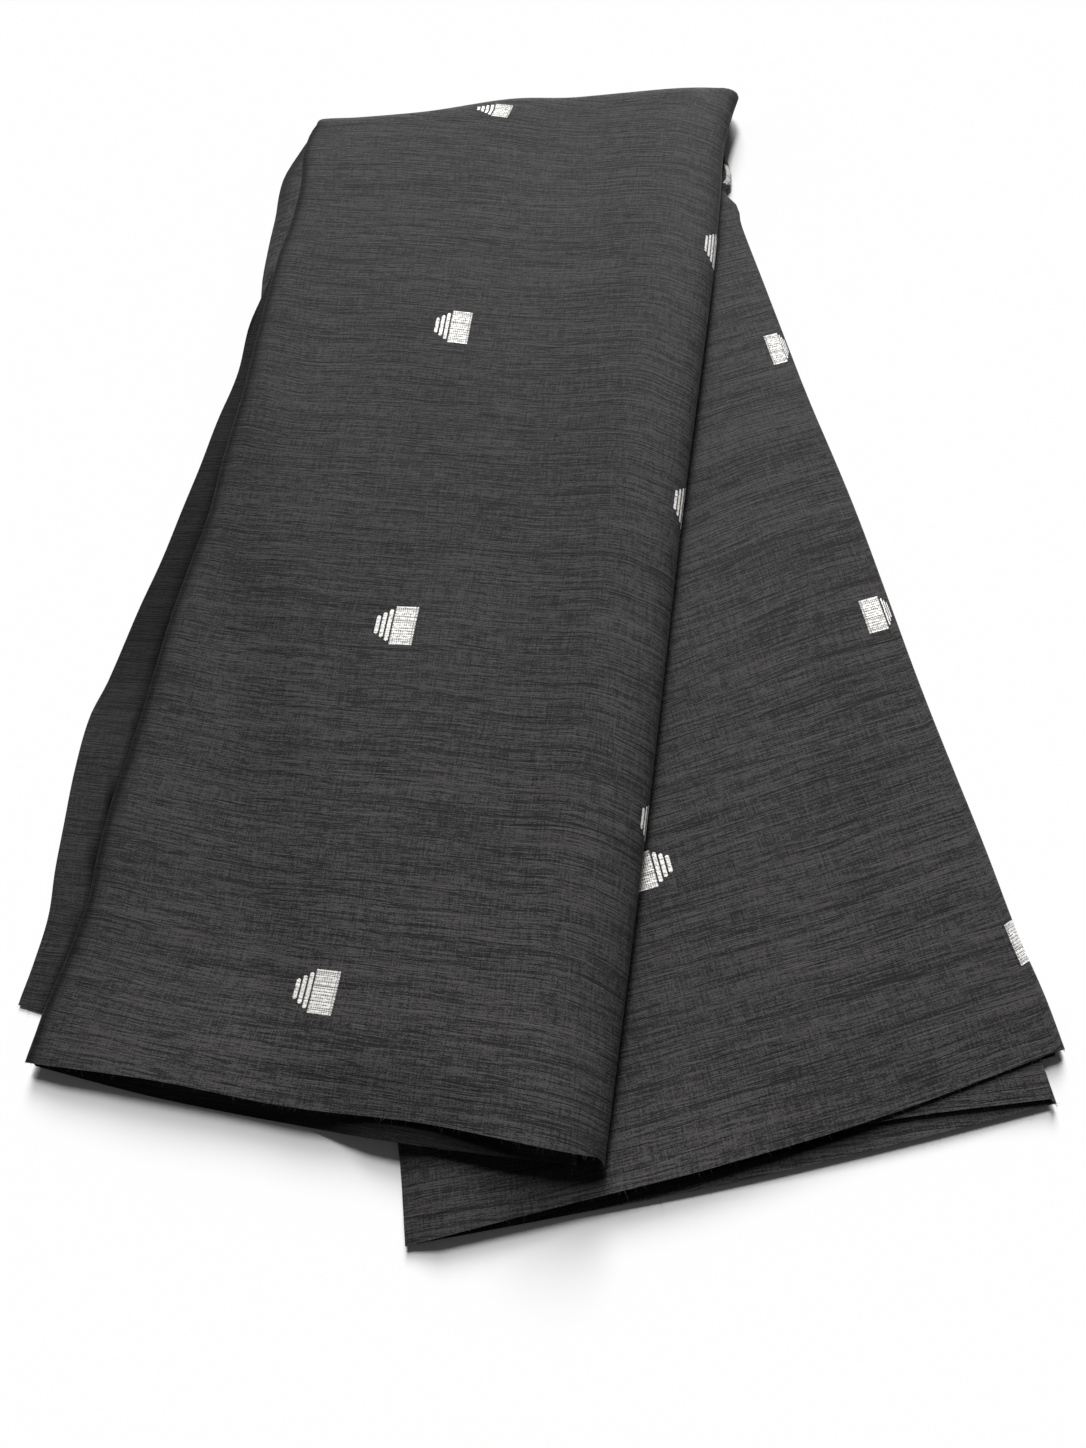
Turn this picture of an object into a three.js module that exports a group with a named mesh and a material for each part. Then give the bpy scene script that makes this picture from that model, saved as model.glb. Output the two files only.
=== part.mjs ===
// A cut length of handwoven jamdani cloth, folded in four along its length and once across,
// its two legs fanned apart and laid flat.
// Millimetres, +Z up, +Y along the upper leg towards the crosswise fold.
// The origin is under the middle of the part's box, on the surface it lies on.

import * as THREE from "three";

// The cloth
const clothWidth = 1120;
const layerCount = 4;
const stripWidth = clothWidth / layerCount;
const upperLegLength = 592;
const sheetThickness = 1;
const layerPitch = 1.8;

// The stack: the middle of the lowest layer, and the air left between the two legs
const lowestMiddle = sheetThickness / 2;
const legClearance = 0.6;
const lowerLegTop = lowestMiddle + (layerCount - 1) * layerPitch;
const upperLegRise = lowerLegTop + layerPitch + legClearance - lowestMiddle;

// The step up onto the lower leg: its length in each layer, and how far outside the edge it ends
const stepRun = [130, 105, 80, 60];
const stepClearance = 2;

// How far the free edges hang down beside the folds under them
const hangRun = 16;
const hangDrop = 1.3;

// Rounding of the lengthwise folds, seen from the end
const leftFoldDepth = 2.2;
const innerFoldDepth = 1.4;
const lowerRightFoldDepth = 4;
const lowerLeftInset = 8;
const lowerInnerInset = 10;
const looseSelvedgeInset = 11;
const buriedSelvedgeInset = 9;

// How much of the top layer's loft each layer takes, from the outside of the fold inwards
const loftShare = [1, 0.4, 0.15, 0];

// Outline of the upper leg, by distance from its cut end: where its left fold, its loose
// selvedge, its inner fold and its right fold lie, and how deep the right fold rolls
const upperOutline = [
  { along: 0, leftFold: -2, looseSelvedge: -21, innerFold: 268, rightFold: 280, rollDepth: 6 },
  { along: 60, leftFold: 4, looseSelvedge: -19, innerFold: 269, rightFold: 280, rollDepth: 6 },
  { along: 115, leftFold: 2, looseSelvedge: -25, innerFold: 269, rightFold: 280, rollDepth: 6 },
  { along: 175, leftFold: 3, looseSelvedge: -29, innerFold: 269, rightFold: 280, rollDepth: 7 },
  { along: 240, leftFold: 5, looseSelvedge: -17, innerFold: 268, rightFold: 280, rollDepth: 8 },
  { along: 310, leftFold: 9, looseSelvedge: -9, innerFold: 267, rightFold: 280, rollDepth: 9 },
  { along: 400, leftFold: 12, looseSelvedge: -3, innerFold: 266, rightFold: 280, rollDepth: 10 },
  { along: 450, leftFold: 12, looseSelvedge: 6, innerFold: 265, rightFold: 280, rollDepth: 11 },
  { along: 540, leftFold: 12, looseSelvedge: 12, innerFold: 264, rightFold: 280, rollDepth: 12 },
  { along: 592, leftFold: 3, looseSelvedge: 8, innerFold: 264, rightFold: 281, rollDepth: 12 },
];

// Outline of the lower leg, by the length of cloth run from the crosswise fold: its left
// and right edges, straight down at first and then turned aside under the upper leg
const lowerOutline = [
  { run: 0, leftX: 2, leftY: 592, rightX: 276, rightY: 592 },
  { run: 26, leftX: -6, leftY: 564, rightX: 274, rightY: 578 },
  { run: 70, leftX: -6, leftY: 524, rightX: 279, rightY: 548 },
  { run: 128, leftX: 2, leftY: 471, rightX: 285, rightY: 522 },
  { run: 190, leftX: 26, leftY: 412, rightX: 293, rightY: 497 },
  { run: 380, leftX: 93, leftY: 233, rightX: 360, rightY: 324 },
  { run: 636, leftX: 188, leftY: -7, rightX: 446, rightY: 89 },
  { run: 676, leftX: 199, leftY: -45, rightX: 460, rightY: 53 },
];
const lowerRun = lowerOutline[lowerOutline.length - 1].run;

// Cut ends: how much each layer falls short of the leg's end line, across the strip.
// Layers that share a fold share the value at that side.
const upperCut = [
  { left: -1, leftMiddle: 0, middle: 1, rightMiddle: 2, right: 0 },
  { left: -1, leftMiddle: -4, middle: -5, rightMiddle: -5, right: -4 },
  { left: 26, leftMiddle: 18, middle: 8, rightMiddle: -1, right: -4 },
  { left: 14, leftMiddle: 11, middle: 7, rightMiddle: 3, right: 0 },
];
const lowerCut = [
  { left: 1, leftMiddle: 5, middle: 9, rightMiddle: 13, right: 16 },
  { left: 1, leftMiddle: -3, middle: -1, rightMiddle: 1, right: 1 },
  { left: 4, leftMiddle: 3, middle: 2, rightMiddle: 1, right: 1 },
  { left: 0, leftMiddle: 2, middle: 7, rightMiddle: 11, right: 16 },
];

// The crosswise fold line: how much it falls short of the upper leg's full length
const foldLine = { left: 7, leftMiddle: 2, middle: 0, rightMiddle: 0, right: 2 };
const foldLineReach = 80;

// Soft humps and hollows of the top layers: where, how far they reach and how high they rise
const upperHumps = [
  { across: 150, along: 300, reachAcross: 400, reachAlong: 900, rise: 1.5 },
  { across: 252, along: 500, reachAcross: 46, reachAlong: 220, rise: 4.2 },
  { across: 235, along: 150, reachAcross: 60, reachAlong: 200, rise: 1.5 },
  { across: 45, along: 560, reachAcross: 45, reachAlong: 70, rise: 1.2 },
  { across: 175, along: 575, reachAcross: 22, reachAlong: 60, rise: -1.6 },
  { across: 185, along: 0, reachAcross: 75, reachAlong: 60, rise: 2.6 },
  { across: 70, along: 20, reachAcross: 50, reachAlong: 70, rise: 0.8 },
];
const lowerHumps = [
  { across: 268, along: 430, reachAcross: 30, reachAlong: 260, rise: 1.6 },
  { across: 215, along: 676, reachAcross: 60, reachAlong: 60, rise: 3 },
];

// Crosswise fold: how far it bulges for each millimetre of half its height
const turnFullness = 1;
const circleHandle = 4 / 3;

// Fineness of the surface
const outerLayerSteps = 17;
const innerLayerSteps = 10;
const wideFoldSteps = 6;
const tightFoldSteps = 4;
const upperSteps = 14;
const turnSteps = 8;
const lowerSteps = 16;

// Value of one column of a table at a place in another, by a smooth curve through the rows
function readTable(rows, placeName, valueName, place) {
  const last = rows.length - 1;
  let row = 0;
  while (row < last - 1 && place > rows[row + 1][placeName]) {
    row += 1;
  }
  const at = (index) => rows[index][placeName];
  const value = (index) => rows[index][valueName];
  const slope = (index) => {
    const before = Math.max(index - 1, 0);
    const after = Math.min(index + 1, last);
    return (value(after) - value(before)) / (at(after) - at(before));
  };
  const length = at(row + 1) - at(row);
  const part = THREE.MathUtils.clamp((place - at(row)) / length, 0, 1);
  const left = 1 - part;
  return (
    value(row) * left * left * (1 + 2 * part) +
    value(row + 1) * part * part * (3 - 2 * part) +
    slope(row) * length * part * left * left -
    slope(row + 1) * length * part * part * left
  );
}

// Shortfall at a place across a layer, from 0 at its left to 1 at its right
function shortfallAt(row, part) {
  const points = [row.left, row.leftMiddle, row.middle, row.rightMiddle, row.right];
  const rows = points.map((value, index) => ({ part: index / (points.length - 1), value }));
  return readTable(rows, "part", "value", part);
}

// Sum of round humps, each a bell curve across and along the leg
function humpHeight(humps, across, along) {
  let height = 0;
  for (const hump of humps) {
    const a = (across - hump.across) / hump.reachAcross;
    const b = (along - hump.along) / hump.reachAlong;
    height += hump.rise * Math.exp(-a * a - b * b);
  }
  return Math.max(height, 0);
}

// The upper leg steps up from the surface onto the lower leg, just outside the lower leg's edge
function upperBase(layer, x, y) {
  const byHeight = [...lowerOutline].reverse();
  const edge = readTable(byHeight, "leftY", "leftX", y);
  const outside = edge - stepClearance - x;
  const climb = 1 - THREE.MathUtils.smoothstep(outside, 0, stepRun[layer]);
  return lowestMiddle + upperLegRise * climb;
}

// Drop of a free edge that hangs past the folds beneath it
function hang(beyond) {
  return hangDrop * THREE.MathUtils.smoothstep(beyond, 0, hangRun);
}

// Upper leg, seen from its cut end. Layer 0 is on top and layer 3 lies lowest.
const upperLeg = {
  edges(layer, along) {
    const read = (name) => readTable(upperOutline, "along", name, along);
    const leftFold = read("leftFold") + leftFoldDepth;
    const rightFold = read("rightFold") - read("rollDepth");
    const innerFold = read("innerFold") - innerFoldDepth;
    return [
      { left: leftFold, right: rightFold },
      { left: leftFold, right: innerFold },
      { left: read("looseSelvedge"), right: innerFold },
      { left: leftFold + buriedSelvedgeInset, right: rightFold },
    ][layer];
  },
  height(layer, across, along) {
    const stack = upperBase(layer, across, along) + (layerCount - 1 - layer) * layerPitch;
    const buried = upperLeg.edges(layerCount - 1, along).left;
    const drop = layer === 2 ? hang(buried - across) : 0;
    return stack + loftShare[layer] * humpHeight(upperHumps, across, along) - drop;
  },
  rightDepth: (along) => readTable(upperOutline, "along", "rollDepth", along),
  along: (cutEnd, foldEnd, part) => THREE.MathUtils.lerp(cutEnd, upperLegLength - foldEnd, part),
  place: (across, along, height) => new THREE.Vector3(across, along, height),
  cut: upperCut,
};

// Lower leg. The crosswise fold turns the stack over, so layer 0 lies lowest and layer 3 on top.
const lowerLeg = {
  edges(layer) {
    const rightFold = stripWidth - lowerRightFoldDepth;
    const innerFold = stripWidth - lowerInnerInset - innerFoldDepth;
    const leftFold = lowerLeftInset + leftFoldDepth;
    return [
      { left: leftFold, right: rightFold },
      { left: leftFold, right: innerFold },
      { left: looseSelvedgeInset, right: innerFold },
      { left: 0, right: rightFold },
    ][layer];
  },
  height(layer, across, along) {
    const share = loftShare[layerCount - 1 - layer];
    const drop = layer === layerCount - 1 ? hang(lowerLeftInset + leftFoldDepth - across) : 0;
    return lowestMiddle + layer * layerPitch + share * humpHeight(lowerHumps, across, along) - drop;
  },
  rightDepth: () => lowerRightFoldDepth,
  along: (cutEnd, foldEnd, part) => (lowerRun - cutEnd) * (1 - part),
  place(across, along, height) {
    const read = (name) => readTable(lowerOutline, "run", name, along);
    const part = THREE.MathUtils.clamp(across / stripWidth, 0, 1);
    const nearFold = 1 - THREE.MathUtils.smoothstep(along, 0, foldLineReach);
    const x = THREE.MathUtils.lerp(read("leftX"), read("rightX"), part);
    const y = THREE.MathUtils.lerp(read("leftY"), read("rightY"), part);
    return new THREE.Vector3(x, y - nearFold * shortfallAt(foldLine, part), height);
  },
  cut: lowerCut,
};

// One line of points from selvedge to selvedge: each stands on a layer or on a fold
function sectionColumns() {
  const columns = [];
  const addLayer = (layer, steps, rightwards) => {
    for (let step = 0; step <= steps; step += 1) {
      const part = step / steps;
      columns.push({ layer, part: rightwards ? part : 1 - part });
    }
  };
  const addFold = (from, to, side, steps) => {
    for (let step = 1; step < steps; step += 1) {
      columns.push({ layer: from, onto: to, side, angle: (Math.PI * step) / steps });
    }
  };
  addLayer(3, outerLayerSteps, true);
  addFold(3, 0, "right", wideFoldSteps);
  addLayer(0, outerLayerSteps, false);
  addFold(0, 1, "left", tightFoldSteps);
  addLayer(1, innerLayerSteps, true);
  addFold(1, 2, "inner", tightFoldSteps);
  addLayer(2, innerLayerSteps, false);
  return columns;
}

// Point of a leg at a column, from 0 at the cut end to 1 at the crosswise fold
function legPoint(leg, column, part) {
  const onLayer = column.onto === undefined;
  const position = onLayer ? column.part : Number(column.side !== "left");
  const cutEnd = shortfallAt(leg.cut[column.layer], position);
  const along = leg.along(cutEnd, shortfallAt(foldLine, position), part);
  const edges = leg.edges(column.layer, along);
  let across = THREE.MathUtils.lerp(edges.left, edges.right, position);
  let height = leg.height(column.layer, across, along);
  if (!onLayer) {
    const reach = {
      left: -leftFoldDepth,
      inner: innerFoldDepth,
      right: leg.rightDepth(along),
    }[column.side];
    const other = leg.height(column.onto, across, along);
    const middle = (height + other) / 2;
    height = middle + ((height - other) / 2) * Math.cos(column.angle);
    across += reach * Math.sin(column.angle);
  }
  return leg.place(across, along, height);
}

// Length of cloth from the upper cut end, over the crosswise fold, to the lower cut end
function clothLine(column) {
  const points = [];
  for (let step = 0; step <= upperSteps; step += 1) {
    points.push(legPoint(upperLeg, column, step / upperSteps));
  }
  const above = legPoint(upperLeg, column, 1);
  const below = legPoint(lowerLeg, column, 1);
  const bulge = (turnFullness * circleHandle * (above.z - below.z)) / 2;
  const outwards = new THREE.Vector3(0, bulge, 0);
  const turn = new THREE.CubicBezierCurve3(
    above,
    above.clone().add(outwards),
    below.clone().add(outwards),
    below,
  );
  for (let step = 1; step < turnSteps; step += 1) {
    points.push(turn.getPoint(step / turnSteps));
  }
  for (let step = 0; step <= lowerSteps; step += 1) {
    points.push(legPoint(lowerLeg, column, 1 - step / lowerSteps));
  }
  return points;
}

// Direction square to the sheet at a grid point, from its neighbours across and along
function sheetNormal(grid, i, j) {
  const lastColumn = grid.length - 1;
  const lastRow = grid[0].length - 1;
  const across = grid[Math.min(i + 1, lastColumn)][j]
    .clone()
    .sub(grid[Math.max(i - 1, 0)][j]);
  const along = grid[i][Math.min(j + 1, lastRow)]
    .clone()
    .sub(grid[i][Math.max(j - 1, 0)]);
  return across.cross(along).normalize();
}

// Closed sheet: the grid moved half a thickness to each side, joined round its four edges
function sheetGeometry(grid) {
  const columns = grid.length;
  const rows = grid[0].length;
  const positions = [];
  for (const side of [1, -1]) {
    for (let i = 0; i < columns; i += 1) {
      for (let j = 0; j < rows; j += 1) {
        const offset = sheetNormal(grid, i, j).multiplyScalar((side * sheetThickness) / 2);
        positions.push(...grid[i][j].clone().add(offset));
      }
    }
  }
  const front = (i, j) => i * rows + j;
  const back = (i, j) => columns * rows + front(i, j);
  const triangles = [];
  const addQuad = (a, b, c, d) => triangles.push(a, b, c, a, c, d);
  for (let i = 0; i < columns - 1; i += 1) {
    for (let j = 0; j < rows - 1; j += 1) {
      addQuad(front(i, j), front(i + 1, j), front(i + 1, j + 1), front(i, j + 1));
      addQuad(back(i, j), back(i, j + 1), back(i + 1, j + 1), back(i + 1, j));
    }
  }
  for (let i = 0; i < columns - 1; i += 1) {
    addQuad(front(i, 0), back(i, 0), back(i + 1, 0), front(i + 1, 0));
    addQuad(front(i + 1, rows - 1), back(i + 1, rows - 1), back(i, rows - 1), front(i, rows - 1));
  }
  for (let j = 0; j < rows - 1; j += 1) {
    addQuad(front(0, j + 1), back(0, j + 1), back(0, j), front(0, j));
    addQuad(front(columns - 1, j), back(columns - 1, j), back(columns - 1, j + 1), front(columns - 1, j + 1));
  }
  const geometry = new THREE.BufferGeometry();
  geometry.setAttribute("position", new THREE.Float32BufferAttribute(positions, 3));
  geometry.setIndex(triangles);
  geometry.computeVertexNormals();
  return geometry;
}

function makeCloth() {
  const grid = sectionColumns().map(clothLine);
  const geometry = sheetGeometry(grid);
  const material = new THREE.MeshStandardMaterial({ color: 0x48464a, roughness: 0.9, metalness: 0 });
  const mesh = new THREE.Mesh(geometry, material);
  mesh.name = "cloth";
  const box = new THREE.Box3().setFromBufferAttribute(geometry.getAttribute("position"));
  const middle = box.getCenter(new THREE.Vector3());
  mesh.position.set(-middle.x, -middle.y, -box.min.z);
  return mesh;
}

const jamdaniLength = new THREE.Group();
jamdaniLength.add(makeCloth());

export default jamdaniLength;
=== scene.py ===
import math

import bpy
import numpy as np
from mathutils import Euler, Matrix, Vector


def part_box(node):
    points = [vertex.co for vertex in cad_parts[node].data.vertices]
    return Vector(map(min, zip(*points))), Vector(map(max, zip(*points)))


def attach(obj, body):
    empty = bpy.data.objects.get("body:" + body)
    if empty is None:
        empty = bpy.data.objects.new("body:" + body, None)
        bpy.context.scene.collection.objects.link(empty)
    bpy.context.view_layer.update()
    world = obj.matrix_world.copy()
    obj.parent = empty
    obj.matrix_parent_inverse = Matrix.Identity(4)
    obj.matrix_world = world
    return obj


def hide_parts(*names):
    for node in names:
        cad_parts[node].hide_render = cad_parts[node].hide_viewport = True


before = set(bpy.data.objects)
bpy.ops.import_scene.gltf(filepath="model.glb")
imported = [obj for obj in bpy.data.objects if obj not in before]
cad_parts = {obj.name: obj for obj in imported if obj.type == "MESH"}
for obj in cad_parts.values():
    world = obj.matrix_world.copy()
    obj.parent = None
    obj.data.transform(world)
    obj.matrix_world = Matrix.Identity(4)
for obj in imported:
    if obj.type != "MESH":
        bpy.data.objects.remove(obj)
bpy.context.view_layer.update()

# A length of charcoal jamdani, folded in four lengthwise and once across, with its two
# legs fanned apart. Sizes are millimetres from the cut corner of the upper leg, until
# toFrame() moves them onto the solid model and turns them into metres.

solidCorner = (-28.209, -45.008)  # lowest corner of the solid cloth, in these millimetres
cadLow = np.array(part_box("cloth")[0]) * 1000
moveToFrame = np.array([cadLow[0] - solidCorner[0], cadLow[1] - solidCorner[1], 0.0])


def toFrame(points):
    return (np.asarray(points, float) + moveToFrame) * 0.001


cloth = {
    "flatWidth": 1120,          # selvedge to selvedge
    "flatLength": 1300,         # cut end to cut end
    "strip": 280,               # width of one of the four layers
    "upperLength": 592,         # cut end to crosswise fold
    "thickness": 0.6,
    "pitch": 1.8,               # from one layer's middle to the next
    "lowest": 0.3,
    "upperRise": 7.8,           # the upper leg stands this much above the lower leg
    "stepRun": (60, 48, 38, 28),  # how far beside the lower leg each layer slopes down
    "stepClearance": 2,
    "hangRun": 16,              # a free edge sinks over this width
    "hangDrop": 1.3,
    "hangMore": 3.5,            # the loose edge sinks this much more where it is raised
    "lowerHangDrop": 5.5,
    "leftDepth": 2.2,           # how far each fold stands out past its layers
    "upperLeftDepth": 4.5,
    "innerDepth": 1.4,
    "lowerRightDepth": 4,
    "nose": (4.5, 30),          # the roll's cut end stands out: by, over
    "lowerLeftInset": 8,
    "lowerInnerInset": 10,
    "looseInset": 11,
    "buriedInset": 9,
    "cornerRun": (590, 75, 20),  # lower leg's cut corner lies flat: from, over, and width
    "cornerFlat": 0.62,
    "cornerShift": 0.95,        # share of the left inset lost there
    "endClosed": 1.0,           # top layer of the lower cut end sinks towards the next
    "endClosing": (630, 30, 120, 80),  # along from and over, across from and over
    "loft": (1, 0.4, 0.15, 0),  # share of the humps that each layer takes
    "ripple": 0.3,              # height of the small waves
    "pressed": 0.45,            # share of the pitch lost where the cut end lies on the lower leg
    "pressedRise": 0.15,        # share of the rise lost there
    "pressedOver": (4, 26, 205, 40),  # along from and over, across from and over
    "mouth": (105, 78, 6.5),    # second layer of the upper cut end: middle, reach and sag
    "mouthDepth": (-6, 14),     # along from and over
    "foldReach": 80,
    "turnFullness": 4 / 3,      # a cubic with this much bulge is close to a half circle
    "layerSteps": (72, 20, 28),  # mesh steps
    "foldSteps": (10, 8, 6),
    "upperSteps": 120,
    "turnSteps": 14,
    "lowerSteps": 84,
}

# Where the edges of the upper leg run: distance from its cut end, then the place across
upperEdges = {
    "leftFold": [
        (0, -4), (14, -2.6), (28, -1.6), (57, 2.6), (82, 4.4), (102, 2.3), (130, 1.2),
        (161, 3.1), (195, 4.1), (240, 4.3), (271, 6.5), (301, 9.4), (339, 9.6), (380, 12.8),
        (416, 12.6), (454, 11.5), (482, 11.3), (505, 13.2), (539, 12.5), (565, 8), (582, 8.5), (592, 12),
    ],
    "looseSelvedge": [
        (0, -22), (27, -21.8), (44, -20.5), (70, -20.1), (94, -24.4), (114, -27),
        (149, -31.2), (179, -32), (200, -27.5), (246, -21.8), (276, -17), (313, -13.2),
        (338, -10.4), (372, -7.6), (406, -2.8), (435, -2.6), (455, 0), (540, 12), (592, 8),
    ],
    "innerFold": [(0, 268), (115, 269), (240, 268), (400, 266), (540, 264), (592, 264)],
    "rightFold": [
        (0, 280), (150, 280.4), (310, 279.6), (450, 280.5),
        (515, 279), (543, 277.8), (570, 279.5), (592, 283),
    ],
    "rollDepth": [(0, 11), (115, 14), (240, 15), (310, 15), (400, 15), (540, 14), (592, 13)],
}

# Where the two edges of the lower leg run, by the cloth's length from the crosswise fold.
# The cut end is at the last place but one, and some layers reach past it.
lowerEdges = {
    "run": [
        0, 26, 48, 66, 84, 97, 104, 112, 126, 150,
        190, 240, 300, 380, 470, 550, 596, 636, 676, 700,
    ],
    "leftX": [
        -3, -11, -11.3, -9.2, -8.2, -7.3, -6.7, -6, -4, 2,
        24, 43, 64.5, 93, 126, 156, 173, 188, 199, 205.6,
    ],
    "leftY": [
        592, 566, 548, 530, 513, 500, 493, 485, 471, 449,
        412, 365, 308.5, 233, 148.5, 73.5, 30, -7, -45, -67.8,
    ],
    "rightX": [
        276, 274, 275, 279, 283, 279, 284, 288.5, 290.5, 294.6,
        304, 319, 336.4, 363, 396.6, 424.2, 437.5, 449, 461.8, 469.5,
    ],
    "rightY": [
        592, 578, 566, 551, 536, 526.5, 521, 514.5, 505, 493,
        468, 428, 382, 316, 223, 152, 116, 89, 53, 31.4,
    ],
}

# Cut ends: how far each layer stops short, at five places from its left to its right
upperCut = [(1, 3.2, 2, 5, 4), (0, -4.5, -5.5, -4.2, -0.7), (26, 18, 10, -1, -0.7), (16, 12.5, 10, 6, 4)]
lowerCut = [(1.5, 5, 9, 14, 19), (0.8, -0.7, -1.7, -0.6, 1.8), (3, 5, 8, 9, 4), (0.7, 3.4, 5.7, 11, 20.5)]
foldLine = (2, 0.7, -6, -2, 3.5)  # the same for the crosswise fold

# How far the weft has slipped along the cloth, so that its lines bend: a row for each
# place along, a value for each place across (u and v on the flat cloth)
upperDrift = {
    "across": [274, 283, 292, 302, 316, 335, 365, 400, 440, 480, 520, 555],
    "rows": {
        0: [5, 2, -1, -2.5, -3.2, -2.8, -1.9, -0.6, 0, 0.2, -0.9, -1.4],
        80: [13, 8, 3.5, 1, -0.7, -0.5, -0.4, 0, 0.1, -0.6, -2.6, -5.5],
        170: [18, 12.5, 7.5, 4.2, 2.2, 2.5, 1.3, 0.1, 0.7, -1, -5.2, -8.8],
        270: [22, 16.5, 11.5, 7.5, 5, 4.8, 3.6, 0.6, -0.2, -2.3, -5.4, -10.3],
        370: [28, 22, 16.5, 11.5, 8, 7.1, 5.9, 2.5, -1.4, -4.2, -5.4, -11.3],
        470: [33, 27, 21.5, 16, 12, 9.8, 8.1, 4.8, -2.1, -6.8, -8.5, -12.9],
        590: [38, 33, 27.5, 22.5, 18.5, 14.7, 12.8, 4.5, -4.1, -10.9, -15.4, -15.9],
    },
}
lowerDrift = {
    "across": [10, 70, 130, 190, 235, 276],
    "rows": {
        780: [-67, -43.6, -21.1, -3, 8.8, 18.6],
        860: [-53.8, -36.8, -19.2, -2.7, 8.7, 16.6],
        940: [-40.2, -29.8, -17.5, -2.2, 9.2, 14.7],
        1040: [-26.3, -22, -16, -1.9, 9, 16.1],
        1150: [-12.4, -13, -13.5, -2.6, 7.5, 17.2],
        1290: [1.2, -2.7, -7.4, -1.5, 5.4, 13.4],
    },
}
driftChange = (600, 800)  # between these places along, one table gives way to the other

# Soft humps and hollows: across, along, reach across, reach along, rise
upperHumps = [
    (150, 300, 400, 900, 1.5),
    (252, 480, 46, 200, 3.2),
    (235, 150, 60, 200, 1.5),
    (45, 560, 45, 70, 1.2),
    (175, 575, 22, 60, -1.6),
    (82, -5, 62, 50, 5.4),
    (140, -5, 26, 40, 2.4),
    (42, -5, 30, 40, 1.2),
    (232, -5, 40, 60, 3.2),
    (265, -5, 30, 70, 2.5),
    (258, 190, 34, 340, 6),
    (14, 300, 17, 500, 2),
]
lowerHumps = [
    (268, 430, 30, 260, 1.6),
    (215, 676, 60, 60, 1.4),
    (110, 680, 80, 32, 3.5),
]


def ease(x):
    # 0 below 0, 1 above 1, and 3x^2 - 2x^3 between
    x = np.clip(x, 0, 1)
    return x * x * (3 - 2 * x)


def readTable(places, values, at):
    # cubic through the table's rows; the slope at a row is that between its two neighbours
    places, values = np.asarray(places, float), np.asarray(values, float)
    last = len(places) - 1
    rows = np.arange(last + 1)
    before, after = np.maximum(rows - 1, 0), np.minimum(rows + 1, last)
    slopes = (values[after] - values[before]) / (places[after] - places[before])
    k = np.clip(np.searchsorted(places, at, side="right") - 1, 0, last - 1)
    gap = places[k + 1] - places[k]
    s = np.clip((at - places[k]) / gap, 0, 1)
    r = 1 - s
    return (
        values[k] * r * r * (1 + 2 * s)
        + values[k + 1] * s * s * (3 - 2 * s)
        + slopes[k] * gap * s * r * r
        - slopes[k + 1] * gap * s * s * r
    )


def readDrift(drift, u, v):
    # for each place across: its column of the table read along, times its weight across
    columns = np.array(list(drift["rows"].values())).T
    total = 0
    for column, unit in zip(columns, np.eye(len(columns))):
        total = total + readTable(drift["across"], unit, u) * readTable(list(drift["rows"]), column, v)
    return total


def upperEdge(name, along):
    places, values = zip(*upperEdges[name])
    return readTable(places, values, along)


def shortfall(tables, layer, part):
    # each layer's own row of five values, read at a part of its width from 0 to 1
    fifths = np.linspace(0, 1, 5)
    return np.choose(layer, [readTable(fifths, row, part) for row in tables])


def humpHeight(humps, across, along):
    # sum of bell curves, never below the flat cloth
    height = 0
    for x, y, reachAcross, reachAlong, rise in humps:
        away = ((across - x) / reachAcross) ** 2 + ((along - y) / reachAlong) ** 2
        height = height + rise * np.exp(-away)
    return np.maximum(height, 0)


def smoothNoise(x, y, seed):
    # random heights from -1 to 1 at the corners of a square net, eased between the corners
    net = np.random.default_rng(seed).uniform(-1, 1, (64, 64))
    column, row = np.floor(x).astype(int), np.floor(y).astype(int)
    a, b = ease(x - column), ease(y - row)
    low = net[column % 64, row % 64] * (1 - a) + net[(column + 1) % 64, row % 64] * a
    high = net[column % 64, (row + 1) % 64] * (1 - a) + net[(column + 1) % 64, (row + 1) % 64] * a
    return low * (1 - b) + high * b


def ripples(across, along, seed):
    # long waves that follow the weft, and a few broad swells
    fine = smoothNoise(across / 70, along / 11, seed)
    middle = smoothNoise(across / 120, along / 26, seed + 1)
    broad = smoothNoise(across / 60, along / 80, seed + 2)
    return cloth["ripple"] * (0.35 * fine + 0.6 * middle + 0.8 * broad)


def hang(beyond, drop):
    # a free edge sinks by drop, eased in over the hanging width
    return drop * ease(beyond / cloth["hangRun"])


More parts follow.
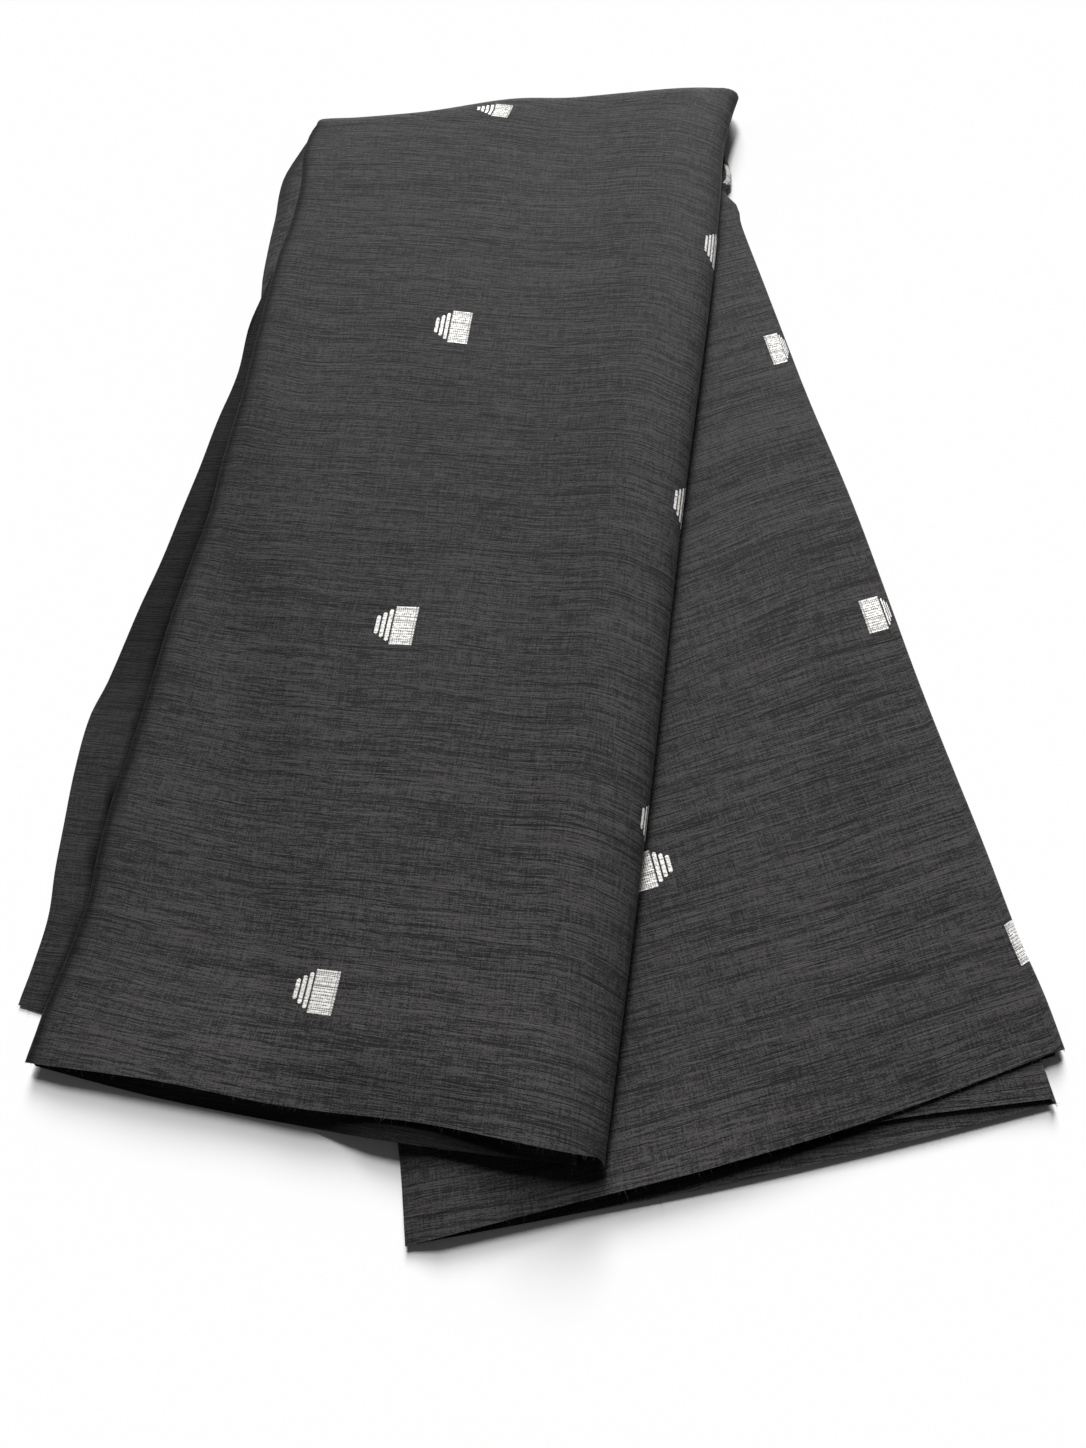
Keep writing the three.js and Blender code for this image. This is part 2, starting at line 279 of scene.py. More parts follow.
class UpperLeg:
    # layer 0 is on top and layer 3 lies lowest
    cut = upperCut
    leftDepth = cloth["upperLeftDepth"]
    nose = cloth["nose"]
    seed = 11

    def edges(self, along):
        left = upperEdge("leftFold", along) + self.leftDepth
        right = upperEdge("rightFold", along) - upperEdge("rollDepth", along)
        inner = upperEdge("innerFold", along) - cloth["innerDepth"]
        loose = upperEdge("looseSelvedge", along)
        return [left, left, loose, left + cloth["buriedInset"]], [right, inner, inner, right]

    def height(self, layer, across, along):
        # base stepping up onto the lower leg + layers beneath + share of the humps - hang
        edge = readTable(lowerEdges["leftY"][::-1], lowerEdges["leftX"][::-1], along)
        outside = edge - cloth["stepClearance"] - across
        climb = 1 - ease(outside / np.take(cloth["stepRun"], layer))
        start, run, side, width = cloth["pressedOver"]
        near = (1 - ease((along - start) / run)) * (1 - ease((across - side) / width))
        pitch = cloth["pitch"] * (1 - cloth["pressed"] * near * climb)
        rise = cloth["upperRise"] * climb * (1 - cloth["pressedRise"] * near)
        stack = cloth["lowest"] + rise + (3 - layer) * pitch
        buried = self.edges(along)[0][3]
        sink = cloth["hangDrop"] + cloth["hangMore"] * climb
        drop = np.where(layer == 2, hang(buried - across, sink), 0)
        middle, reach, sag = cloth["mouth"]
        start, run = cloth["mouthDepth"]
        gape = np.exp(-(((across - middle) / reach) ** 2)) * (1 - ease((along - start) / run))
        drop = drop + np.where(layer == 1, sag * gape * (1 - climb), 0)
        lift = humpHeight(upperHumps, across, along) + ripples(across, along, self.seed)
        return np.maximum(stack + np.take(cloth["loft"], layer) * lift - drop, cloth["lowest"])

    def rightDepth(self, along):
        return upperEdge("rollDepth", along)

    def along(self, cutEnd, foldEnd, part):
        return cutEnd + (cloth["upperLength"] - foldEnd - cutEnd) * part

    def place(self, across, along, height):
        return np.stack([across, along, height], -1)


class LowerLeg:
    # the crosswise fold turns the stack over, so layer 0 lies lowest and layer 3 on top
    cut = lowerCut
    leftDepth = cloth["leftDepth"]
    nose = (0, 1)
    seed = 23
    run = lowerEdges["run"][-2]

    def cornerShare(self, along):
        start, run = cloth["cornerRun"][:2]
        return ease((along - start) / run)

    def leftInset(self, along):
        lost = cloth["cornerShift"] * self.cornerShare(along)
        return cloth["lowerLeftInset"] * (1 - lost) + cloth["leftDepth"]

    def edges(self, along):
        whole = np.ones_like(along)
        right = (cloth["strip"] - cloth["lowerRightDepth"]) * whole
        inner = (cloth["strip"] - cloth["lowerInnerInset"] - cloth["innerDepth"]) * whole
        left = self.leftInset(along)
        return [left, left, cloth["looseInset"] * whole, 0 * whole], [right, inner, inner, right]

    def height(self, layer, across, along):
        # layers beneath + share of the humps - hang of the free edge
        corner = self.cornerShare(along) * (1 - ease((across + 2) / cloth["cornerRun"][2]))
        stack = cloth["lowest"] + layer * cloth["pitch"] * (1 - cloth["cornerFlat"] * corner)
        beyond = self.leftInset(along) - across
        drop = np.where(layer == 3, hang(beyond, cloth["lowerHangDrop"]) * (1 - corner), 0)
        start, run, side, width = cloth["endClosing"]
        closed = cloth["endClosed"] * ease((along - start) / run) * ease((across - side) / width)
        drop = drop + np.where(layer == 3, closed, 0)
        share = np.take(cloth["loft"], 3 - layer)
        lift = humpHeight(lowerHumps, across, along) + ripples(across, along, self.seed)
        return stack + share * lift - drop

    def rightDepth(self, along):
        return cloth["lowerRightDepth"]

    def along(self, cutEnd, foldEnd, part):
        return (self.run - cutEnd) * (1 - part)

    def place(self, across, along, height):
        # a point between the two edges, at its part of the strip's width
        part = np.clip(across / cloth["strip"], 0, 1)
        nearFold = 1 - ease(along / cloth["foldReach"])
        read = lambda name: readTable(lowerEdges["run"], lowerEdges[name], along)
        x = read("leftX") * (1 - part) + read("rightX") * part
        y = read("leftY") * (1 - part) + read("rightY") * part
        fall = readTable(np.linspace(0, 1, 5), foldLine, part)
        return np.stack([x, y - nearFold * fall, height], -1)


def sectionColumns():
    # selvedge to selvedge: layer, the layer it folds onto, side (0 left, 1 inner, 2 right),
    # place across the layer from 0 to 1, and the angle turned round the fold
    columns = []

    def addLayer(layer, places):
        columns.extend((layer, layer, 0, place, 0.0) for place in places)

    def addFold(layer, onto, side, steps):
        angles = np.linspace(0, math.pi, steps + 1)[1:-1]
        columns.extend((layer, onto, side, float(side > 0), angle) for angle in angles)

    outer, middle, last = (np.linspace(0, 1, n + 1) for n in cloth["layerSteps"])
    addLayer(3, outer)
    addFold(3, 0, 2, cloth["foldSteps"][0])
    addLayer(0, outer[::-1])
    addFold(0, 1, 0, cloth["foldSteps"][1])
    addLayer(1, middle)
    addFold(1, 2, 1, cloth["foldSteps"][2])
    addLayer(2, last[::-1] ** 1.6)
    return [np.array(values)[:, None] for values in zip(*columns)]


def legPoints(leg, columns, part):
    # on a layer: place between the edges at its height; round a fold: half a turn of an
    # ellipse from one layer's height to the other's, reach * sin outwards
    layer, onto, side, position, angle = columns
    cutEnd = shortfall(leg.cut, layer, position)
    foldEnd = readTable(np.linspace(0, 1, 5), foldLine, position)
    along = leg.along(cutEnd, foldEnd, part[None, :])
    out, over = leg.nose
    rounding = np.maximum(np.sin(angle * 1.5), 0) * (1 - ease(along / over))
    along = along - np.where(side == 2, out * rounding, 0)
    lefts, rights = leg.edges(along)
    layers = np.broadcast_to(layer, along.shape)
    left, right = np.choose(layers, lefts), np.choose(layers, rights)
    across = left + (right - left) * position
    height = leg.height(layer, across, along)
    other = leg.height(onto, across, along)
    reach = np.choose(np.broadcast_to(side, along.shape), [
        np.full_like(along, -leg.leftDepth),
        np.full_like(along, cloth["innerDepth"]),
        np.broadcast_to(leg.rightDepth(along), along.shape),
    ])
    height = (height + other) / 2 + (height - other) / 2 * np.cos(angle)
    across = across + reach * np.sin(angle)
    return leg.place(across, along, height), along


def clothGrid():
    # rows run from the upper cut end, over the crosswise fold, to the lower cut end
    columns = sectionColumns()
    upper, upperAlong = legPoints(UpperLeg(), columns, np.linspace(0, 1, cloth["upperSteps"] + 1))
    lower, lowerAlong = legPoints(LowerLeg(), columns, np.linspace(1, 0, cloth["lowerSteps"] + 1))
    above, below = upper[:, -1:], lower[:, :1]
    bulge = cloth["turnFullness"] * (above[..., 2:] - below[..., 2:]) / 2 * np.array([0, 1, 0])
    t = np.linspace(0, 1, cloth["turnSteps"] + 1)[1:-1][None, :, None]
    # cubic curve round the crosswise fold, leaving and arriving square to it
    turn = (
        above * (1 - t) ** 3
        + (above + bulge) * 3 * t * (1 - t) ** 2
        + (below + bulge) * 3 * t * t * (1 - t)
        + below * t**3
    )
    grid = np.concatenate([upper, turn, lower], 1)

    # place on the flat cloth: u across from selvedge to selvedge, v along from the cut end
    steps = np.linalg.norm(np.diff(grid, axis=0), axis=2).mean(1)
    u = np.concatenate([[0], np.cumsum(steps)])
    u = u / u[-1] * cloth["flatWidth"]
    wholeTurn = np.concatenate([above, turn, below], 1)
    turnLength = np.linalg.norm(np.diff(wholeTurn, axis=1), axis=2).sum(1).mean()
    turnV = upperAlong[:, -1:] + turnLength * t[..., 0]
    lowerV = upperAlong[:, -1:] + turnLength + lowerAlong
    v = np.concatenate([upperAlong, turnV, lowerV], 1)
    change = ease((v - driftChange[0]) / (driftChange[1] - driftChange[0]))
    u = u[:, None]
    v = v + readDrift(upperDrift, u, v) * (1 - change) + readDrift(lowerDrift, u, v) * change
    print("cloth: width", round(float(steps.sum())), "mm, turn", round(float(turnLength), 1), "mm")
    return grid, np.broadcast_to(u, v.shape), v


def gridNormals(grid):
    # cross product of the directions to the neighbours across and along
    across = np.gradient(grid, axis=0)
    along = np.gradient(grid, axis=1)
    normal = np.cross(across, along)
    return normal / np.linalg.norm(normal, axis=2, keepdims=True)


def makePiece(name, points, faces, material, sharpAbove=None):
    mesh = bpy.data.meshes.new(name)
    mesh.from_pydata(points.tolist(), [], faces.tolist())
    mesh.update()
    mesh.polygons.foreach_set("use_smooth", np.ones(len(mesh.polygons), bool))
    if sharpAbove:
        mesh.set_sharp_from_angle(angle=math.radians(sharpAbove))
    mesh.materials.append(material)
    piece = bpy.data.objects.new(name, mesh)
    bpy.context.scene.collection.objects.link(piece)
    return piece


def addMap(piece, name, u, v):
    # one place on the flat cloth for every vertex, copied to the face corners
    layer = piece.data.uv_layers.new(name=name)
    corner = np.zeros(len(piece.data.loops), np.int32)
    piece.data.loops.foreach_get("vertex_index", corner)
    layer.uv.foreach_set("vector", np.stack([u, v], 1)[corner].astype(np.float32).ravel())


def sheetPiece(name, grid, u, v, thickness, material):
    # the grid moved half a thickness to each side, joined round its four edges
    columns, rows = grid.shape[:2]
    offset = gridNormals(grid) * thickness / 2
    points = np.concatenate([(grid + offset).reshape(-1, 3), (grid - offset).reshape(-1, 3)])
    front = np.arange(columns * rows).reshape(columns, rows)
    back = front + columns * rows
    quads = lambda a, b, c, d: np.stack([a, b, c, d], -1).reshape(-1, 4)
    faces = np.concatenate([
        quads(front[:-1, :-1], front[1:, :-1], front[1:, 1:], front[:-1, 1:]),
        quads(back[:-1, :-1], back[:-1, 1:], back[1:, 1:], back[1:, :-1]),
        quads(front[:-1, 0], back[:-1, 0], back[1:, 0], front[1:, 0]),
        quads(front[1:, -1], back[1:, -1], back[:-1, -1], front[:-1, -1]),
        quads(front[0, 1:], back[0, 1:], back[0, :-1], front[0, :-1]),
        quads(front[-1, :-1], back[-1, :-1], back[-1, 1:], front[-1, 1:]),
    ])
    piece = makePiece(name, toFrame(points), faces, material, sharpAbove=55)
    addMap(piece, "clothUv", np.tile(u.ravel(), 2) * 0.001, np.tile(v.ravel(), 2) * 0.001)
    return piece


class Wire:
    # a socket of a finish's nodes; sums, products and comparisons of wires add Math nodes
    def __init__(self, finish, socket):
        self.finish, self.socket = finish, socket

    def math(self, operation, *values):
        return self.finish.node("ShaderNodeMath", {"operation": operation}, dict(enumerate(values)))

    def __add__(self, other): return self.math("ADD", self, other)
    def __radd__(self, other): return self.math("ADD", other, self)
    def __sub__(self, other): return self.math("SUBTRACT", self, other)
    def __rsub__(self, other): return self.math("SUBTRACT", other, self)
    def __mul__(self, other): return self.math("MULTIPLY", self, other)
    def __rmul__(self, other): return self.math("MULTIPLY", other, self)
    def __truediv__(self, other): return self.math("DIVIDE", self, other)
    def __gt__(self, other): return self.math("GREATER_THAN", self, other)
    def __lt__(self, other): return self.math("LESS_THAN", self, other)
    def __abs__(self): return self.math("ABSOLUTE", self)
    def fraction(self): return self.math("FRACT", self)
    def atLeast(self, other): return self.math("MAXIMUM", self, other)
    def atMost(self, other): return self.math("MINIMUM", self, other)

    def between(self, low, high):
        # 0 at low and 1 at high, straight between and flat outside
        inputs = {0: self, 1: low, 2: high, 3: 0.0, 4: 1.0}
        return self.finish.node("ShaderNodeMapRange", {"clamp": True}, inputs)


class Finish:
    # one material: its nodes, and the one method that adds a node
    def __init__(self, name):
        self.material = bpy.data.materials.new(name)
        self.material.use_nodes = True
        self.nodes = self.material.node_tree.nodes
        self.links = self.material.node_tree.links
        self.shader = self.nodes["Principled BSDF"]

    def node(self, kind, settings=None, inputs=None, output=0):
        made = self.nodes.new(kind)
        for name, value in (settings or {}).items():
            if name == "stops":
                self.setStops(made.color_ramp, value)
            else:
                setattr(made, name, value)
        for key, value in (inputs or {}).items():
            self.feed(made.inputs[key], value)
        return Wire(self, made.outputs[output])

    def feed(self, socket, value):
        if isinstance(value, Wire):
            self.links.new(value.socket, socket)
        else:
            socket.default_value = value

    def setStops(self, ramp, stops):
        # stepped ramp: each stop holds its colour up to the next. The places are set before
        # the colours, because moving a stop can change the order of the stops
        ramp.interpolation = "CONSTANT"
        while len(ramp.elements) < len(stops):
            ramp.elements.new(0.5)
        for element, (place, _) in zip(ramp.elements, stops):
            element.position = place
        for element, (_, colour) in zip(ramp.elements, stops):
            element.color = (*colour, 1)

    def parts(self, wire):
        split = self.node("ShaderNodeSeparateXYZ", None, {0: wire})
        return [Wire(self, split.socket.node.outputs[i]) for i in range(3)]

    def join(self, x, y, z):
        return self.node("ShaderNodeCombineXYZ", None, {0: x, 1: y, 2: z})

    def noise(self, place, detail=2.0, roughness=0.5):
        settings = {"noise_dimensions": "3D", "normalize": True}
        inputs = {"Vector": place, "Scale": 1.0, "Detail": detail, "Roughness": roughness}
        return self.node("ShaderNodeTexNoise", settings, inputs)

    def blend(self, share, low, high):
        return self.node("ShaderNodeMix", {"data_type": "RGBA"}, {0: share, 6: low, 7: high}, output=2)


zari = {
    "block": (12.9, 21.5),   # width across and height along the warp
    "bars": [(8.6, 17.8), (11.9, 14.0), (15.2, 10.2)],  # distance from the block's middle, height
    "fourthBar": (18.4, 6.4, 570, 640),  # the same, only between these places along
    "barWidth": 2.3,
    "barRounding": 0.45,     # how fast a bar's ends fall away from its middle line
    "sideLine": (5.3, 0.55),  # thin dark line in the block: distance from its middle, width
    "passPitch": 1.6,        # rows of silver weft
    "warpPitch": 1.22,
    "soft": 0.16,
    "outlineShade": 0.55,         # how much darker the cloth is round a motif: painted shade along its edge
    "outlineWidth": 0.6,
    "colour": (0.84, 0.83, 0.80, 1),
    "shade": (0.17, 0.15, 0.14, 1),
}

# Woven motifs in the middle columns and in the columns beside the lengthwise folds:
# place along the cloth, shift across, and share of the full width and height
middleMotifs = [
    (52.4, -2.9, 1, 0.92), (236.4, -4.9, 1, 1), (424.1, 4.5, 1.02, 1.02), (588.3, 9.3, 0.95, 0.46),
    (790, 0, 0.8, 0.85), (960, 0, 0.8, 0.85), (1137.4, -8.7, 0.8, 0.85),
]
edgeMotifs = [
    (-20, 0, 1, 1), (157.6, 5.2, 0.4, 1), (328, 6.5, 0.42, 1.15), (499.5, 7.7, 0.42, 1.15), (640, 0, 1, 1),
    (717, 2.5, 0.5, 0.7), (879.3, -6.4, 0.62, 1.13), (1054.6, -9.2, 0.67, 0.735), (1223.2, 1.8, 0.95, 1.06),
]
motifColumns = [(140, 0), (272, 1), (424, 0), (588, 1), (700, 0), (846, 1), (980, 0)]  # across, kind

# A ramp holds numbers from 0 to 1, so places and shifts are kept as (value + first) / second
placeCode = (100, 1500)
shiftCode = (50, 100)


def holdNearest(rows, length):
    # starts of a stepped ramp's stops: each row holds halfway to its neighbours
    places = [row[0] for row in rows]
    return [0.0] + [(a + b) / 2 / length for a, b in zip(places, places[1:])]


def motifPlaces(finish, u, v):
    # distances across and along from the nearest motif's middle, in its own millimetres
    spanV, spanU = cloth["flatLength"], cloth["flatWidth"]
    code = lambda value, first, second: (value + first) / second
    decode = lambda value, first, second: value * second - first
    ramp = lambda stops, at: finish.node("ShaderNodeValToRGB", {"stops": stops}, {0: at})
    readRamp = lambda stops, at: finish.parts(ramp(stops, at))[:2]
    tables = []
    for rows in (middleMotifs, edgeMotifs):
        starts = holdNearest(rows, spanV)
        places = [(s, (code(r[0], *placeCode), code(r[1], *shiftCode), 0)) for s, r in zip(starts, rows)]
        sizes = [(s, (r[2] / 2, r[3] / 2, 0)) for s, r in zip(starts, rows)]
        tables.append(readRamp(places, v / spanV) + readRamp(sizes, v / spanV))
    starts = holdNearest(motifColumns, spanU)
    stops = [(s, (middle / spanU, kind, 0)) for s, (middle, kind) in zip(starts, motifColumns)]
    column, kind = readRamp(stops, u / spanU)
    place, shift, wide, tall = (a + (b - a) * kind for a, b in zip(*tables))
    across = u - column * spanU - decode(shift, *shiftCode)
    along = v - decode(place, *placeCode)
    return across / (wide * 2), along / (tall * 2)


def within(distance, half, soft):
    # 1 inside a half width, falling to 0 over a soft edge
    return 1 - abs(distance).between(half - soft, half + soft)


def motifMask(across, along, v, soft, grow=0.0):
    # a block with three or four rounded bars beside it, each shorter than the last
    width, height = zari["block"]
    place, barHeight, low, high = zari["fourthBar"]
    fourth = (v > low) * (v < high)
    block = within(across, width / 2 + grow, soft) * within(along, height / 2 + grow, soft)
    mask = block
    for middle, tall, shown in [(*bar, 1.0) for bar in zari["bars"]] + [(place, barHeight, fourth)]:
        x = across - middle
        end = tall / 2 + grow - x * x * zari["barRounding"]
        bar = within(x, zari["barWidth"] / 2 + grow, soft) * (end - abs(along)).between(-soft, soft)
        mask = mask.atLeast(bar * shown)
    return mask, block


def zariThreads(finish, across, along):
    # darkness of the gaps: dotted lines between the rows of silver, one strong row, a row
    # near each end, and a thin line along the warp
    patchy = finish.noise(finish.join(across * 0.35, along * 0.5, 7.0), 1.0)
    row = abs((along / zari["passPitch"]).fraction() - 0.5) * 2
    dot = abs((across / zari["warpPitch"]).fraction() - 0.5) * 2
    lines = row.between(0.4, 0.9) * (0.3 + 0.7 * dot.between(0.1, 0.7)) * patchy.between(0.3, 0.52)
    columns = dot.between(0.45, 0.95) * patchy.between(0.4, 0.6) * 0.7
    strong = within(along - 2.6, 0.3, 0.25) * (0.65 + 0.35 * dot.between(0.2, 0.7))
    nearEnd = within(abs(along) - 8.9, 0.25, 0.25) * (0.5 + 0.5 * dot.between(0.2, 0.7))
    place, width = zari["sideLine"]
    side = within(across + place, width / 2, 0.2) * 0.7
    return lines.atLeast(columns).atLeast(strong).atLeast(nearEnd).atLeast(side)


weave = {
    "dark": (0.0072, 0.0065, 0.007, 1),
    "light": (0.056, 0.0525, 0.0545, 1),
    "roughness": 0.8,
    "specular": 0.4,
    "sheen": 0.04,
    # near black colour of the painted shade
    "deepestShade": (0.0012, 0.001, 0.0011, 1),
    "sheenRoughness": 0.35,
    "bump": 0.0005,
}


def clothFinish():
    finish = Finish("jamdaniCloth")
    place = finish.node("ShaderNodeUVMap", {"uv_map": "clothUv"})
    u, v, _ = finish.parts(place)
    u, v = u * 1000, v * 1000
    drift = finish.noise(finish.join(u / 45, v / 30, 3.0), 2.0)
    across, along = u, v + drift * 2.4

    # handspun weft: streaks of several lengths and thicknesses in millimetres, and thin
    # lines where a long smooth noise passes its middle value
    yarn = finish.noise(finish.join(across / 9, along / 0.6, 1.0), 2.0, 0.6)
    slub = finish.noise(finish.join(across / 40, along / 1.5, 2.0), 3.0, 0.6)
    band = finish.noise(finish.join(across / 150, along / 7, 4.0), 3.0, 0.6)
    cloud = finish.noise(finish.join(across / 70, along / 45, 10.0), 2.0, 0.5)
    grain = finish.noise(finish.join(across / 0.9, along / 0.65, 5.0), 2.0, 0.8)
    bold = finish.noise(finish.join(across / 45, along / 1.0, 17.0), 2.0, 0.55)
    far = v.between(60.0, 420.0) * (1 - v.between(640.0, 900.0))
    coarse = finish.noise(finish.join(across / 3.2, along / 0.95, 16.0), 1.0, 0.5)
    warp = finish.noise(finish.join(across / 0.9, along / 12, 6.0), 2.0, 0.6)
    darkSlub = finish.noise(finish.join(across / 30, along / 1.1, 8.0), 2.0, 0.5).between(0.6, 0.72)
    lightSlub = finish.noise(finish.join(across / 48, along / 0.8, 9.0), 2.0, 0.5).between(0.62, 0.75)
    darkWave = finish.noise(finish.join(across / 110, along / 4, 14.0), 2.0, 0.5)
    lightWave = finish.noise(finish.join(across / 130, along / 5, 15.0), 2.0, 0.5)
    darkLine = 1 - abs(darkWave - 0.5).between(0.0, 0.03)
    lightLine = 1 - abs(lightWave - 0.5).between(0.0, 0.02)
    tone = (
        0.5
        + (yarn - 0.5) * (2.4 + far * 1.4)
        + (slub - 0.5) * 1.5
        + (band - 0.5) * 1.3
        + (cloud - 0.5) * 0.4
        + (grain - 0.5) * (4.0 + far * 1.6)
        + (coarse - 0.5) * (1.0 + far * 1.2)
        + (bold - 0.5) * (1.2 + far * 2.6)
        + (warp - 0.5) * (1.9 + far * 1.3)
        - darkSlub * 0.4
        + lightSlub * 0.4
        - darkLine * 0.62
        + lightLine * 0.5
    )
    # painted shade: a per-vertex share in the second UV map blends the cloth's colour towards near black
    shadeShare, _, _ = finish.parts(finish.node("ShaderNodeUVMap", {"uv_map": "crushedUv"}))
    tone = tone.atLeast(-0.1).atMost(1.4)
    ground = finish.blend(shadeShare, finish.blend(tone, weave["dark"], weave["light"]), weave["deepestShade"])

    motifAcross, motifAlong = motifPlaces(finish, u, v)
    wobble = (finish.noise(finish.join(u / 1.1, v / 1.3, 12.0), 1.0) - 0.5) * 0.5
    inside = (motifAcross + wobble, motifAlong + wobble, v)
    mask, block = motifMask(*inside, zari["soft"])
    # ring round each motif where the cloth is darkened towards its dark yarn colour: painted shade along the
    # motif's edge
    shadeRing, _ = motifMask(*inside, zari["outlineWidth"], zari["outlineWidth"])
    gaps = zariThreads(finish, motifAcross, motifAlong)
    barGaps = finish.noise(finish.join(u / 0.9, v / 1.4, 13.0), 1.0).between(0.54, 0.7) * 0.7
    darkness = block * gaps + (1 - block) * barGaps
    silver = finish.blend(darkness, zari["colour"], zari["shade"])
    colour = finish.blend(mask, finish.blend(shadeRing * zari["outlineShade"], ground, weave["dark"]), silver)

    relief = yarn * 0.35 + slub * 0.4 + grain * 0.25 + lightSlub * 0.25 - darkSlub * 0.2 - darkLine * 0.2
    woven = mask * (0.5 - darkness * 0.45)
    inputs = {"Strength": 1.0, "Distance": weave["bump"], "Height": relief + woven}
    bump = finish.node("ShaderNodeBump", None, inputs)

    shader = finish.shader.inputs
    finish.feed(shader["Base Color"], colour)
    finish.feed(shader["Roughness"], weave["roughness"] - mask * 0.4)
    # Metallic is raised where the painted shade is deepest, so that the black there has no gloss; the cloth
    # is not metal
    finish.feed(shader["Metallic"], mask * 0.15 + shadeShare.between(0.6, 1.0) * (1 - mask))
    finish.feed(shader["Normal"], bump)
    finish.feed(shader["IOR"], 1.45)
    finish.feed(shader["Specular IOR Level"], weave["specular"])
    finish.feed(shader["Sheen Weight"], weave["sheen"])
    finish.feed(shader["Sheen Roughness"], weave["sheenRoughness"])
    return finish.material


def fibreFinish(name, colour):
    finish = Finish(name)
    place = finish.node("ShaderNodeTexCoord", output=3)
    x, y, z = finish.parts(place)
    patchy = finish.noise(finish.join(x * 900, y * 900, z * 900), 1.0)
    darker = tuple(c * 0.6 for c in colour[:3]) + (1,)
    finish.feed(finish.shader.inputs["Base Color"], finish.blend(patchy, darker, colour))
    finish.feed(finish.shader.inputs["Roughness"], 0.8)
    return finish.material


# Painted shade: how far the cloth's colour is blended towards near black, for shade at the folds, the roll,
# creases, the strip under the left fold, inside the cut ends' mouths, beside the roll and towards the far
# end: a share, then the reach in millimetres
paintedShade = {
    "leftFold": (0.8, 7),
    "leftSide": (0.16, 80),
    "farEnd": (0.19, 60, 260),      # share, from this place along, over
    "strip": (0.45, 0.76, 1.0, 6),  # near the cut end, farther up, against the fold, reach
    "stripChange": (130, 110),      # from this place along, over
    "roll": (0.32, 16),
    "mouth": (0.8, 11, 235, 20),    # share, depth, then across to here, fading over
    "besideRoll": (0.2, 8),
    "lowerLeft": (0.85, 12, 170),   # share, reach, fading over this length from the fold
    "lowerMouth": (0.85, 14, 195, 25),  # as the mouth of the upper leg
    "slits": [  # across, along, reach across, reach along, share
        (-5, 120, 4.5, 30, 1), (-10, 262, 12, 4, 0.7), (-2, 470, 6, 60, 1),
    ],
}


def paintedShadeShare(grid, columns):
    # painted shade share for each point: the largest of its shares; along a line, share * exp(-(distance /
    # reach)^2)
    layer, onto, side, position, angle = columns
    bell = lambda distance, reach: np.exp(-np.maximum(distance, 0) ** 2 / reach**2)
    on = lambda layers, share: np.where(np.isin(layer, layers), share, 0)
    whole = np.zeros(grid.shape[:2])

    rows = cloth["upperSteps"] + 1
    across, along = grid[:, :rows, 0], grid[:, :rows, 1]
    fold = upperEdge("leftFold", along)
    right = upperEdge("rightFold", along)
    share, reach = paintedShade["leftFold"]
    total = on([0], share * bell(across - fold - 2, reach))
    share, reach = paintedShade["leftSide"]
    total = np.maximum(total, on([0], share * bell(across - fold, reach)))
    share, start, over = paintedShade["farEnd"]
    total = np.maximum(total, on([0], share * ease((along - start) / over)))
    low, high, deepestShade, near = paintedShade["strip"]
    start, over = paintedShade["stripChange"]
    base = low + (high - low) * ease((along - start) / over)
    strip = base + (deepestShade - base) * bell(fold - across - 1, near)
    total = np.maximum(total, np.where(across < fold + 6, on([2], strip), 0))
    share, reach = paintedShade["roll"]
    roll = share * bell(right - 2 - across, reach)
    total = np.maximum(total, np.where((layer == 0) | ((side == 2) & (angle > 0)), roll, 0))
    for x, y, reachAcross, reachAlong, share in paintedShade["slits"]:
        slit = share * np.exp(-(((across - x) / reachAcross) ** 2) - ((along - y) / reachAlong) ** 4)
        total = np.maximum(total, on([0, 2], slit))
    share, depth, end, over = paintedShade["mouth"]
    inner = share * (1 - ease((along - 2) / depth)) * (1 - ease((across - end) / over))
    whole[:, :rows] = np.maximum(total, np.where(across > fold, on([1, 2], inner), 0))

    # painted shade on the lower leg: beside the roll, at its left end, and inside its own mouth
    lower = grid[:, rows:]
    foldY = cloth["upperLength"]
    edge = upperEdge("rightFold", np.clip(lower[..., 1], 0, foldY))
    share, reach = paintedShade["besideRoll"]
    beside = on([3], share * bell(lower[..., 0] - edge, reach))
    share, reach, end = paintedShade["lowerLeft"]
    beyond = 1 - ease((foldY - lower[..., 1]) / end)
    near = on([3], share * bell(position * cloth["strip"] - 3, reach) * beyond)
    share, depth, end, over = paintedShade["lowerMouth"]
    steps = np.linalg.norm(np.diff(lower[..., :2], axis=1), axis=2)
    fromEnd = np.zeros(lower.shape[:2])
    fromEnd[:, :-1] = np.cumsum(steps[:, ::-1], axis=1)[:, ::-1]
    deep = share * ease((fromEnd - 1.2) / 2.5) * (1 - ease((fromEnd - depth) / 10))
    deep = on([1, 2], deep * (1 - ease((position * cloth["strip"] - end) / over)))
    whole[:, rows:] = np.maximum(np.maximum(beside, near), deep)
    return whole


fray = {
    "seed": 5,
    "count": 1500,
    "length": (0.4, 2.6),
    "rooted": 0.4,            # each starts this far inside the cloth
    "spread": 0.35,
    "radius": 0.055,
    "colour": (0.06, 0.058, 0.062, 1),
}


